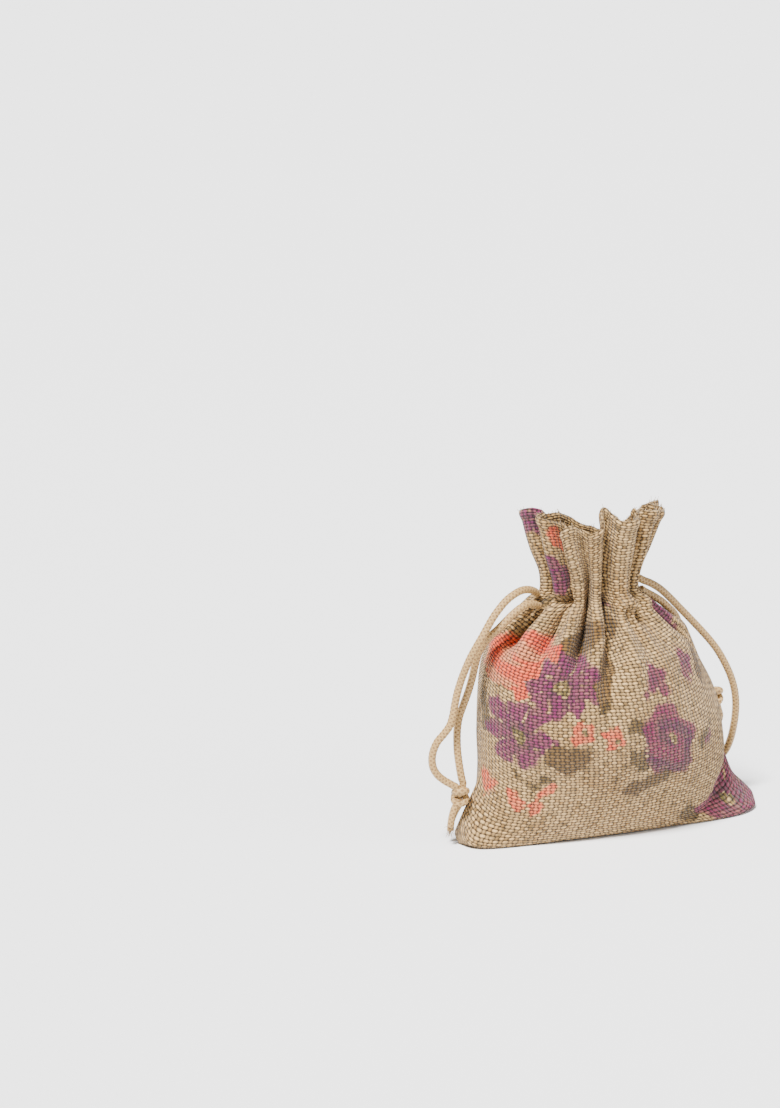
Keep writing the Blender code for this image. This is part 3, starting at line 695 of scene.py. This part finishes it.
def smooth_route(points, step):
    """Points about a step apart along a smooth curve through the route's own points."""
    given = np.array(points, float)
    padded = np.vstack([2 * given[0] - given[1], given, 2 * given[-1] - given[-2]])
    pieces = []
    for i in range(len(given) - 1):
        p0, p1, p2, p3 = padded[i:i + 4]
        for t in np.linspace(0, 1, 16, endpoint=False):
            pieces.append(0.5 * (2 * p1 + (p2 - p0) * t + (2 * p0 - 5 * p1 + 4 * p2 - p3) * t * t
                                 + (3 * p1 - p0 - 3 * p2 + p3) * t ** 3))
    pieces.append(given[-1])
    fine = np.array(pieces)
    length = distances(fine)
    count = max(int(round(length[-1] / step)), 2)
    at = np.linspace(0, length[-1], count + 1)
    return np.stack([np.interp(at, length, fine[:, k]) for k in range(3)], axis=1)


def tube(points, radius, sides=18, plait=0.0, taper=0.0):
    """Points, faces and corner uv of a closed tube along points; plait is the relief of its braid."""
    points = np.asarray(points, float)
    ways = np.gradient(points, axis=0)
    ways /= np.linalg.norm(ways, axis=1, keepdims=True)
    side = np.cross(ways[0], (0.3, 0.9, 0.2))
    places = distances(points)
    round_way = np.linspace(0, 2 * np.pi, sides, endpoint=False)
    out, faces, uv = [], [], []
    for k, (point, way) in enumerate(zip(points, ways)):
        side = side - way * (side @ way)
        side /= np.linalg.norm(side)
        other = np.cross(way, side)
        first = np.abs(np.cos(2 * round_way + np.pi * places[k] / PLAIT_PITCH))
        second = np.abs(np.cos(2 * round_way - np.pi * places[k] / PLAIT_PITCH))
        wide = radius * (1 - taper * k / len(points)) + plait * (np.maximum(first, second) - 0.85)
        ring = point + np.outer(wide * np.cos(round_way), side)
        out += list(ring + np.outer(wide * np.sin(round_way), other))
    for k in range(len(points) - 1):
        for i in range(sides):
            n = (i + 1) % sides
            faces.append((k * sides + i, k * sides + n, (k + 1) * sides + n, (k + 1) * sides + i))
            u0, u1 = i / sides, (i + 1) / sides
            uv += [(u0, places[k]), (u1, places[k]), (u1, places[k + 1]), (u0, places[k + 1])]
    for k, order in ((0, -1), (len(points) - 1, 1)):
        faces.append(tuple(k * sides + i for i in range(sides))[::order])
        uv += [(0.5, places[k])] * sides
    return out, faces, uv


def join_tubes(name, tubes):
    """One object from many tubes."""
    points, faces, uv = [], [], []
    for tube_points, tube_faces, tube_uv in tubes:
        start = len(points)
        points += [p * MM for p in tube_points]
        faces += [tuple(start + k for k in face) for face in tube_faces]
        uv += tube_uv
    made = new_object(name, points, faces)
    set_uv(made, uv)
    return made


def turn_points(row):
    """One turn of cord in a knot, as points along it."""
    x, y, z, azimuth, tilt, radius, start, sweep, rise = row
    a, t = math.radians(azimuth), math.radians(tilt)
    axis = np.array([math.sin(t) * math.cos(a), math.sin(t) * math.sin(a), math.cos(t)])
    one = np.cross(axis, (0.2, 0.1, 0.97) if tilt > 50 else (1.0, 0.0, 0.0))
    one /= np.linalg.norm(one)
    two = np.cross(axis, one)
    angles = np.radians(start + np.linspace(0, sweep, int(sweep / 9)))
    climb = np.linspace(-0.5, 0.5, len(angles)) * rise
    return (np.array([x, y, z]) + radius * (np.outer(np.cos(angles), one) + np.outer(np.sin(angles), two))
            + np.outer(climb, axis))


def fibres_from(point, way, count, length, spread, rng):
    """A tuft of loose fibres from one place, as thin tapering tubes."""
    tuft = []
    for _ in range(count):
        start = point + rng.normal(0, 0.35, 3)
        aim = way + rng.normal(0, spread, 3)
        aim /= np.linalg.norm(aim)
        reach = length * rng.uniform(0.5, 1.1)
        curl = rng.normal(0, 0.25, 3) * reach
        path = [start + aim * reach * t + curl * t * t for t in np.linspace(0, 1, 6)]
        tuft.append(tube(path, 0.11, sides=4, taper=0.6))
    return tuft


def braid(points, share=1.0):
    """A tube of the cord along points, at a share of its width."""
    return tube(smooth_route(points, CORD_STEP), CORD_WIDE / 2 * share, plait=PLAIT_RELIEF)


def build_cords():
    """For each cord, its object and the path that it follows."""
    return {name: (join_tubes("braided_" + name, [braid(route)]), smooth_route(route, PATH_STEP) * MM)
            for name, route in ROUTES.items()}


def build_knots():
    """Each knot's turns, the two strands going into it, and its free ends with their loose fibres."""
    rng = np.random.default_rng(SEED)
    knots = {}
    for name, turns in TURNS.items():
        tubes = [tube(turn_points(row), CORD_WIDE / 2 * TURN_SHARE, plait=PLAIT_RELIEF) for row in turns]
        heart = np.mean([row[:3] for row in turns], axis=0)
        for cord, route in ROUTES.items():
            if name.split("_")[1] in cord:
                last, end = np.array(route[-2:])
                tubes.append(braid([end - 0.2 * (end - last), end + 0.6 * (end - last), heart], STUB_SHARE))
        for tail in TAILS[name]:
            line = smooth_route(tail, CORD_STEP)
            tubes.append(braid(tail, TAIL_SHARE))
            tubes += fibres_from(line[-1], line[-1] - line[-4], 16, 1.9, 0.5, rng)
        knots[name] = join_tubes("tied_" + name, tubes)
    return knots


def build_fray(rows):
    """Loose threads along the raw rim."""
    rng = np.random.default_rng(SEED + 1)
    rim, under = rows[-1] / MM, rows[-4] / MM
    tubes = []
    for k in range(COLUMNS):
        busy = FRAY_LEAST
        for share, half_width, more in FRAYED:
            busy += more * math.exp(-((k / COLUMNS - share) / half_width) ** 2)
        for _ in range(3):
            if rng.random() > busy:
                continue
            way = rim[k] - under[k]
            way /= np.linalg.norm(way)
            aim = way + rng.normal(0, 0.45, 3)
            reach = rng.uniform(0.2, 0.9) * (0.6 + 0.7 * busy)
            start = rim[k] + rng.normal(0, 0.18, 3) - way * 0.3
            curl = rng.normal(0, 0.35, 3) * reach
            path = [start + aim * reach * t + curl * t * t for t in np.linspace(0, 1, 4)]
            tubes.append(tube(path, rng.uniform(0.06, 0.13), sides=3, taper=0.5))
    return join_tubes("frayed_rim", tubes)


# ---- materials ----

class Nodes:
    """Short calls for building a material's nodes."""

    def __init__(self, name):
        self.material = bpy.data.materials.new(name)
        self.material.use_nodes = True
        self.tree = self.material.node_tree
        self.shader = self.tree.nodes["Principled BSDF"]

    def node(self, kind, **settings):
        made = self.tree.nodes.new(kind)
        for key, value in settings.items():
            setattr(made, key, value)
        return made

    def join(self, source, socket):
        if isinstance(source, (int, float, tuple)):
            socket.default_value = source
        else:
            self.tree.links.new(source, socket)

    def fed(self, kind, values, **settings):
        """The first output of a new node that has the values in its first sockets."""
        made = self.node(kind, **settings)
        for value, socket in zip(values, made.inputs):
            self.join(value, socket)
        return made.outputs[0]

    def math(self, operation, *values):
        return self.fed("ShaderNodeMath", values, operation=operation)

    def times(self, first, second):
        return self.math("MULTIPLY", first, second)

    def line(self, value, slope, base):
        return self.math("MULTIPLY_ADD", value, slope, base)

    def mix(self, factor, first, second, blend="MIX"):
        made = self.node("ShaderNodeMix", data_type="RGBA", blend_type=blend)
        self.join(factor, made.inputs["Factor"])
        self.join(first, made.inputs[6])
        self.join(second, made.inputs[7])
        return made.outputs[2]

    def noise(self, vector, scale, detail=2.0, roughness=0.5):
        made = self.node("ShaderNodeTexNoise")
        self.join(vector, made.inputs["Vector"])
        made.inputs["Scale"].default_value = scale
        made.inputs["Detail"].default_value = detail
        made.inputs["Roughness"].default_value = roughness
        return made.outputs["Fac"]

    def band(self, value, low, high):
        made = self.node("ShaderNodeMapRange", interpolation_type="SMOOTHSTEP")
        self.join(value, made.inputs["Value"])
        made.inputs["From Min"].default_value = low
        made.inputs["From Max"].default_value = high
        return made.outputs["Result"]

    def vector(self, *values):
        return self.fed("ShaderNodeCombineXYZ", values)

    def cloth_place(self):
        """The place on the piece's own uv map, and its two parts."""
        where = self.node("ShaderNodeUVMap", uv_map="cloth").outputs[0]
        split = self.node("ShaderNodeSeparateXYZ")
        self.join(where, split.inputs[0])
        return where, split.outputs[0], split.outputs[1]

    def attribute(self, name):
        return self.node("ShaderNodeAttribute", attribute_name=name).outputs["Fac"]

    def about(self, value, middle, share, base):
        """How far a value is from its middle, as a share, about a base."""
        return self.line(self.math("SUBTRACT", value, middle), share, base)

    def dim(self, colour, amount):
        return self.mix(1.0, colour, self.vector(amount, amount, amount), "MULTIPLY")

    def finish(self, colour, roughness, sheen, sheen_roughness):
        self.join(colour, self.shader.inputs["Base Color"])
        self.shader.inputs["Roughness"].default_value = roughness
        self.shader.inputs["Sheen Weight"].default_value = sheen
        self.shader.inputs["Sheen Roughness"].default_value = sheen_roughness

    def bump(self, height, strength, distance):
        made = self.node("ShaderNodeBump")
        made.inputs["Strength"].default_value = strength
        made.inputs["Distance"].default_value = distance
        self.join(height, made.inputs["Height"])
        self.join(made.outputs["Normal"], self.shader.inputs["Normal"])


WARP_PITCH = 1.48            # millimetres between threads, round the bag
WEFT_PITCH = 0.985           # and up it
THREAD_SWING = 0.42          # how far a thread rises and sinks over the others
THREAD_PALE = (0.37, 0.238, 0.102, 1.0)
THREAD_GOLD = (0.18, 0.092, 0.023, 1.0)
# The dark colour of the painted shade in the gaps between threads, and the tint of the thread colour mixed
# into it.
GAP_SHADE_DARK = (0.014, 0.007, 0.0015, 1.0)
GAP_SHADE_TINT = (0.4, 0.3, 0.2, 1.0)
# The inside's thread colours, darker than the outside's: painted shade for the shadowed inside of the bag.
INSIDE_SHADED_PALE = (0.26, 0.160, 0.060, 1.0)
INSIDE_SHADED_GOLD = (0.13, 0.062, 0.014, 1.0)
# Cord and loose thread colours; the second of each pair is painted shade between the plaits.
CORD_PALE = (0.42, 0.255, 0.088, 1.0)
CORD_GROOVE_SHADE = (0.15, 0.070, 0.017, 1.0)
LOOSE_PALE = (0.46, 0.34, 0.20, 1.0)
LOOSE_GROOVE_SHADE = (0.26, 0.17, 0.08, 1.0)
FLOOR_TONES = ((0.93, 0.93, 0.93, 1.0), (0.96, 0.96, 0.96, 1.0))
# For each ink its colour and how well it covers, and the deeper colour of the flowers' darker parts.
INK_COLOURS = {
    # Brown is partly painted shade, in the furrows of the front shoulder.
    "brown_and_shade": ((0.080, 0.036, 0.003, 1.0), 0.95),
    "grey": ((0.060, 0.028, 0.004, 1.0), 0.93),
    "olive": ((0.048, 0.026, 0.002, 1.0), 0.95),
    "magenta": ((0.130, 0.0040, 0.046, 1.0), 0.98),
    "purple": ((0.112, 0.0030, 0.054, 1.0), 0.98),
    "coral": ((0.56, 0.036, 0.010, 1.0), 0.95),
    "eye": ((0.060, 0.050, 0.010, 1.0), 0.92),
}
INK_DEEP = {
    "magenta": (0.060, 0.003, 0.036, 1.0),
    "purple": (0.036, 0.002, 0.030, 1.0),
    "coral": (0.50, 0.150, 0.065, 1.0),
}


def weave(m, u, v, where):
    """The height of a plain weave of wandering threads, where its warp is on top, and each place's cell."""
    sway, sway_2 = m.noise(where, 0.16, 3.0), m.noise(m.vector(v, u, 7.0), 0.16, 3.0)
    a = m.math("DIVIDE", m.line(sway, 1.1, u), WARP_PITCH)
    b = m.math("DIVIDE", m.line(sway_2, 0.9, v), WEFT_PITCH)
    sin_a = m.math("SINE", m.times(a, math.pi))
    sin_b = m.math("SINE", m.times(b, math.pi))
    over_a = m.line(m.times(m.math("SIGN", sin_a), sin_b), THREAD_SWING, 0.52)
    over_b = m.line(m.times(m.math("SIGN", sin_b), sin_a), -THREAD_SWING, 0.58)
    warp = m.times(m.math("POWER", m.math("ABSOLUTE", sin_a), 0.9), over_a)
    weft = m.times(m.math("POWER", m.math("ABSOLUTE", sin_b), 0.55), over_b)
    is_warp = m.band(m.math("SUBTRACT", warp, weft), -0.05, 0.05)
    return m.math("MAXIMUM", warp, weft), is_warp, m.math("FLOOR", a), m.math("FLOOR", b)


def inked(m, thread, where, speck, slub):
    """The thread's colour under the print: soft uneven edges, worn grains, and deeper tones in the petals."""
    edge = m.times(m.math("SUBTRACT", m.noise(where, 0.45, 3.0), 0.5), 0.5)
    edge = m.about(speck, 0.5, 0.12, edge)
    tone = m.about(m.noise(where, 0.35, 4.0), 0.5, 0.9, m.attribute("ink_tone"))
    worn = m.line(m.times(speck, slub), -0.55, 1.0)
    colour = thread
    for ink, (tint, strength) in INK_COLOURS.items():
        mask = m.band(m.math("ADD", m.attribute("ink_" + ink), edge), -0.08, 0.12)
        mask = m.times(m.times(mask, worn), strength)
        if ink in INK_DEEP:
            tint = m.mix(m.band(tone, 0.75, 0.15), tint, INK_DEEP[ink])
        colour = m.mix(mask, colour, m.mix(0.84, m.mix(1.0, colour, tint, "MULTIPLY"), tint))
    return colour


def burlap_material(name, pale, deep, printed):
    """Plain weave with painted light on the thread tops and painted shade down in its gaps, its outside
    printed with soft-edged inks.
    """
    m = Nodes(name)
    where, u, v = m.cloth_place()
    height, is_warp, cell_a, cell_b = weave(m, u, v, where)

    white = m.node("ShaderNodeTexWhiteNoise", noise_dimensions="2D")
    m.join(m.vector(cell_a, cell_b), white.inputs["Vector"])
    speck = white.outputs["Value"]
    slub_a = m.noise(m.vector(m.times(cell_a, 5.3), m.times(v, 0.35)), 1.0, 2.0)
    slub_b = m.noise(m.vector(m.times(u, 0.28), m.times(cell_b, 7.7)), 1.0, 2.0)
    slub = m.math("ADD", m.times(slub_a, is_warp), m.times(slub_b, m.math("SUBTRACT", 1.0, is_warp)))
    fibre = m.noise(m.vector(m.times(u, 2.0), m.times(v, 2.6)), 2.4, 4.0, 0.7)
    patch = m.noise(where, 0.05, 3.0)

    gold = m.math("ADD", m.times(slub, 0.55), m.times(speck, 0.26))
    gold = m.math("ADD", gold, m.times(patch, 0.7))
    gold = m.band(m.line(is_warp, 0.20, gold), 0.45, 1.35)
    colour = m.mix(gold, pale, deep)
    if printed:
        colour = inked(m, colour, where, speck, slub)
    colour = m.dim(colour, m.about(fibre, 0.5, 0.36, 1.0))
    # Painted light and shade by the weave's height: thread tops lighter, the low parts darker; times the
    # threads' own uneven tone, and the weft a little lighter than the warp.
    relief_light_and_tone = m.line(m.band(height, 0.20, 0.95), 1.15, 0.36)
    relief_light_and_tone = m.times(relief_light_and_tone, m.line(slub, 0.9, 0.60))
    relief_light_and_tone = m.times(relief_light_and_tone, m.line(is_warp, -0.14, 1.10))
    colour = m.dim(colour, relief_light_and_tone)
    # Painted shade in the gaps between threads: where the weave is low, the colour is mixed towards a dark
    # shade colour.
    gap_shade = m.band(m.about(slub, 0.5, -0.25, height), 0.60, 0.27)
    dark = m.mix(0.35, GAP_SHADE_DARK, m.mix(1.0, colour, GAP_SHADE_TINT, "MULTIPLY"))
    m.finish(m.mix(m.times(gap_shade, 0.92), colour, dark), 0.82, 0.12, 0.5)
    m.shader.inputs["Specular IOR Level"].default_value = 0.25
    m.bump(m.line(fibre, 0.25, height), 1.0, 0.0006)
    return m.material


def cord_material(name, pale, deep):
    """Braided soft cord, a little glossy, with painted shade between its plaits."""
    m = Nodes(name)
    _, turn, run = m.cloth_place()
    turns, pitches = m.times(turn, 4 * math.pi), m.times(run, math.pi / PLAIT_PITCH)
    first = m.math("ABSOLUTE", m.math("COSINE", m.math("ADD", turns, pitches)))
    second = m.math("ABSOLUTE", m.math("COSINE", m.math("SUBTRACT", turns, pitches)))
    plait = m.math("MAXIMUM", first, second)
    spread = m.noise(m.vector(m.times(turn, 9.0), run), 1.1, 4.0, 0.7)
    hairs = m.noise(m.vector(m.times(turn, 40.0), m.times(run, 3.0)), 2.0, 3.0, 0.7)
    # Painted shade: the deeper colour goes between the plaits.
    colour = m.mix(m.times(m.band(plait, 0.96, 0.62), 0.75), pale, deep)
    m.finish(m.dim(colour, m.about(spread, 0.5, 0.5, 1.0)), 0.55, 0.15, 0.4)
    m.bump(m.line(hairs, 0.3, plait), 0.5, 0.00025)
    return m.material


def floor_material():
    m = Nodes("pale_floor")
    grain = m.noise(m.node("ShaderNodeTexCoord").outputs["Object"], 3.0)
    m.join(m.mix(grain, *FLOOR_TONES), m.shader.inputs["Base Color"])
    m.shader.inputs["Roughness"].default_value = 0.9
    return m.material


# ---- stage ----

def stand(name, data, place, aim):
    """Stands a camera or a light at a place and points it at another."""
    made = bpy.data.objects.new(name, data)
    bpy.context.scene.collection.objects.link(made)
    made.location = place
    made.rotation_euler = (Vector(aim) - Vector(place)).to_track_quat("-Z", "Y").to_euler()
    return made


def build_camera():
    lens = bpy.data.cameras.new("camera")
    lens.lens = CAMERA_LENS
    lens.sensor_width = 36.0
    lens.clip_start = 0.05
    lens.clip_end = 20.0
    bpy.context.scene.camera = stand("camera", lens, CAMERA_PLACE, CAMERA_AIM)


def light(kind, name, place, strength, **settings):
    lamp = bpy.data.lights.new(name, kind)
    lamp.energy = strength
    for key, value in settings.items():
        setattr(lamp, key, value)
    stand(name, lamp, place, LIGHT_AIM)


def build_stage():
    half = FLOOR_HALF
    corners = [(-half, -half, 0), (half, -half, 0), (half, half, 0), (-half, half, 0)]
    floor = new_object("floor", corners, [(0, 1, 2, 3)])
    floor.data.materials.append(floor_material())
    world = bpy.data.worlds.new("studio")
    world.use_nodes = True
    background = world.node_tree.nodes["Background"].inputs
    background["Color"].default_value = (1.0, 1.0, 1.0, 1.0)
    background["Strength"].default_value = WORLD_LIGHT
    bpy.context.scene.world = world
    light("SUN", "key", KEY_PLACE, 11.4, angle=math.radians(14.0))
    light("AREA", "fill", FILL_PLACE, 7.0, shape="DISK", size=0.9)


def main():
    build_camera()
    braided = cord_material("braided_cord", CORD_PALE, CORD_GROOVE_SHADE)
    burlap = burlap_material("printed_burlap", THREAD_PALE, THREAD_GOLD, True)
    # The inside is an unprinted copy of the burlap in darker colours: painted shade.
    inside = burlap_material("burlap_inside_shaded", INSIDE_SHADED_PALE, INSIDE_SHADED_GOLD, False)

    cords = build_cords()
    knots = build_knots()
    for name, (cord, line) in cords.items():
        cord.data.materials.append(braided)
        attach(cord, "root")
        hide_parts(name)
    for name, knot in knots.items():
        knot.data.materials.append(braided)
        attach(knot, "root")
        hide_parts(name)

    cloth, rows = build_cloth()
    cloth.data.materials.append(burlap)
    # The second material, for the cloth's inner shell, is the darker copy with painted shade.
    cloth.data.materials.append(inside)
    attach(cloth, "root")
    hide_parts("bag_cloth")
    fray = build_fray(rows)
    fray.data.materials.append(cord_material("loose_threads", LOOSE_PALE, LOOSE_GROOVE_SHADE))
    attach(fray, "root")

    build_stage()


main()
